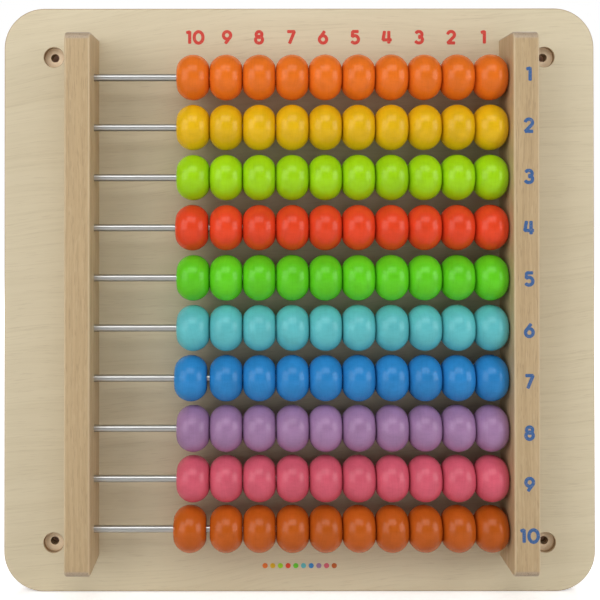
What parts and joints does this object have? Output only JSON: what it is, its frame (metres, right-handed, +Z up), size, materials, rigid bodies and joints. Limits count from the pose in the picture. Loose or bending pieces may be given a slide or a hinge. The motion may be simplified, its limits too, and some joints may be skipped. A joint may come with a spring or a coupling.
{
  "type": "wall abacus",
  "caption": "Wall-mounted counting frame: rounded square panel, two upright rails and steel rods carrying sliding barrel-shaped beads in rainbow rows.",
  "frame": {"origin": "centre of the panel's back face, which lies against the wall", "axes": "+X to the right as seen from the front, +Y out of the back into the wall, +Z up along the rails; the beads face -Y"},
  "size_m": [0.385, 0.048, 0.38],
  "materials": {
    "birch_plywood": "satin",
    "beech": "satin",
    "rod_steel": "gloss",
    "screw_steel": "satin",
    "bead_orange": "satin",
    "bead_amber": "satin",
    "bead_lime": "satin",
    "bead_red": "satin",
    "bead_green": "satin",
    "bead_aqua": "satin",
    "bead_blue": "satin",
    "bead_lilac": "satin",
    "bead_pink": "satin",
    "bead_brown": "satin"
  },
  "bodies": {
    "frame": {"back_panel": "birch_plywood", "left_rail": "beech", "right_rail": "beech", "rail_screws": "screw_steel", "rod_01": "rod_steel", "rod_02": "rod_steel", "rod_03": "rod_steel", "rod_04": "rod_steel", "rod_05": "rod_steel", "rod_06": "rod_steel", "rod_07": "rod_steel", "rod_08": "rod_steel", "rod_09": "rod_steel", "rod_10": "rod_steel"},
    "row_01_beads_right": {"row_01_beads_right": "bead_orange"},
    "row_01_beads_left": {"row_01_beads_left": "bead_orange"},
    "row_02_beads_right": {"row_02_beads_right": "bead_amber"},
    "row_02_beads_left": {"row_02_beads_left": "bead_amber"},
    "row_03_beads_right": {"row_03_beads_right": "bead_lime"},
    "row_03_beads_left": {"row_03_beads_left": "bead_lime"},
    "row_04_beads_right": {"row_04_beads_right": "bead_red"},
    "row_04_beads_left": {"row_04_beads_left": "bead_red"},
    "row_05_beads_right": {"row_05_beads_right": "bead_green"},
    "row_05_beads_left": {"row_05_beads_left": "bead_green"},
    "row_06_beads_right": {"row_06_beads_right": "bead_aqua"},
    "row_06_beads_left": {"row_06_beads_left": "bead_aqua"},
    "row_07_beads_right": {"row_07_beads_right": "bead_blue"},
    "row_07_beads_left": {"row_07_beads_left": "bead_blue"},
    "row_08_beads_right": {"row_08_beads_right": "bead_lilac"},
    "row_08_beads_left": {"row_08_beads_left": "bead_lilac"},
    "row_09_beads_right": {"row_09_beads_right": "bead_pink"},
    "row_09_beads_left": {"row_09_beads_left": "bead_pink"},
    "row_10_beads_right": {"row_10_beads_right": "bead_brown"},
    "row_10_beads_left": {"row_10_beads_left": "bead_brown"}
  },
  "joints": [
    {"name": "row_01_right_slide", "type": "slide", "parent": "frame", "child": "row_01_beads_right", "axis": [1, 0, 0], "range_m": [-0.052, 0]},
    {"name": "row_01_left_slide", "type": "slide", "parent": "row_01_beads_right", "child": "row_01_beads_left", "axis": [-1, 0, 0], "range_m": [0, 0.052]},
    {"name": "row_02_right_slide", "type": "slide", "parent": "frame", "child": "row_02_beads_right", "axis": [1, 0, 0], "range_m": [-0.052, 0]},
    {"name": "row_02_left_slide", "type": "slide", "parent": "row_02_beads_right", "child": "row_02_beads_left", "axis": [-1, 0, 0], "range_m": [0, 0.052]},
    {"name": "row_03_right_slide", "type": "slide", "parent": "frame", "child": "row_03_beads_right", "axis": [1, 0, 0], "range_m": [-0.052, 0]},
    {"name": "row_03_left_slide", "type": "slide", "parent": "row_03_beads_right", "child": "row_03_beads_left", "axis": [-1, 0, 0], "range_m": [0, 0.052]},
    {"name": "row_04_right_slide", "type": "slide", "parent": "frame", "child": "row_04_beads_right", "axis": [1, 0, 0], "range_m": [-0.0513, 0]},
    {"name": "row_04_left_slide", "type": "slide", "parent": "row_04_beads_right", "child": "row_04_beads_left", "axis": [-1, 0, 0], "range_m": [0, 0.0513]},
    {"name": "row_05_right_slide", "type": "slide", "parent": "frame", "child": "row_05_beads_right", "axis": [1, 0, 0], "range_m": [-0.052, 0]},
    {"name": "row_05_left_slide", "type": "slide", "parent": "row_05_beads_right", "child": "row_05_beads_left", "axis": [-1, 0, 0], "range_m": [0, 0.052]},
    {"name": "row_06_right_slide", "type": "slide", "parent": "frame", "child": "row_06_beads_right", "axis": [1, 0, 0], "range_m": [-0.052, 0]},
    {"name": "row_06_left_slide", "type": "slide", "parent": "row_06_beads_right", "child": "row_06_beads_left", "axis": [-1, 0, 0], "range_m": [0, 0.052]},
    {"name": "row_07_right_slide", "type": "slide", "parent": "frame", "child": "row_07_beads_right", "axis": [1, 0, 0], "range_m": [-0.0505, 0]},
    {"name": "row_07_left_slide", "type": "slide", "parent": "row_07_beads_right", "child": "row_07_beads_left", "axis": [-1, 0, 0], "range_m": [0, 0.0505]},
    {"name": "row_08_right_slide", "type": "slide", "parent": "frame", "child": "row_08_beads_right", "axis": [1, 0, 0], "range_m": [-0.052, 0]},
    {"name": "row_08_left_slide", "type": "slide", "parent": "row_08_beads_right", "child": "row_08_beads_left", "axis": [-1, 0, 0], "range_m": [0, 0.052]},
    {"name": "row_09_right_slide", "type": "slide", "parent": "frame", "child": "row_09_beads_right", "axis": [1, 0, 0], "range_m": [-0.052, 0]},
    {"name": "row_09_left_slide", "type": "slide", "parent": "row_09_beads_right", "child": "row_09_beads_left", "axis": [-1, 0, 0], "range_m": [0, 0.052]},
    {"name": "row_10_right_slide", "type": "slide", "parent": "frame", "child": "row_10_beads_right", "axis": [-1, 0, 0], "range_m": [0, 0.05]},
    {"name": "row_10_left_slide", "type": "slide", "parent": "row_10_beads_right", "child": "row_10_beads_left", "axis": [1, 0, 0], "range_m": [-0.05, 0.002]}
  ]
}
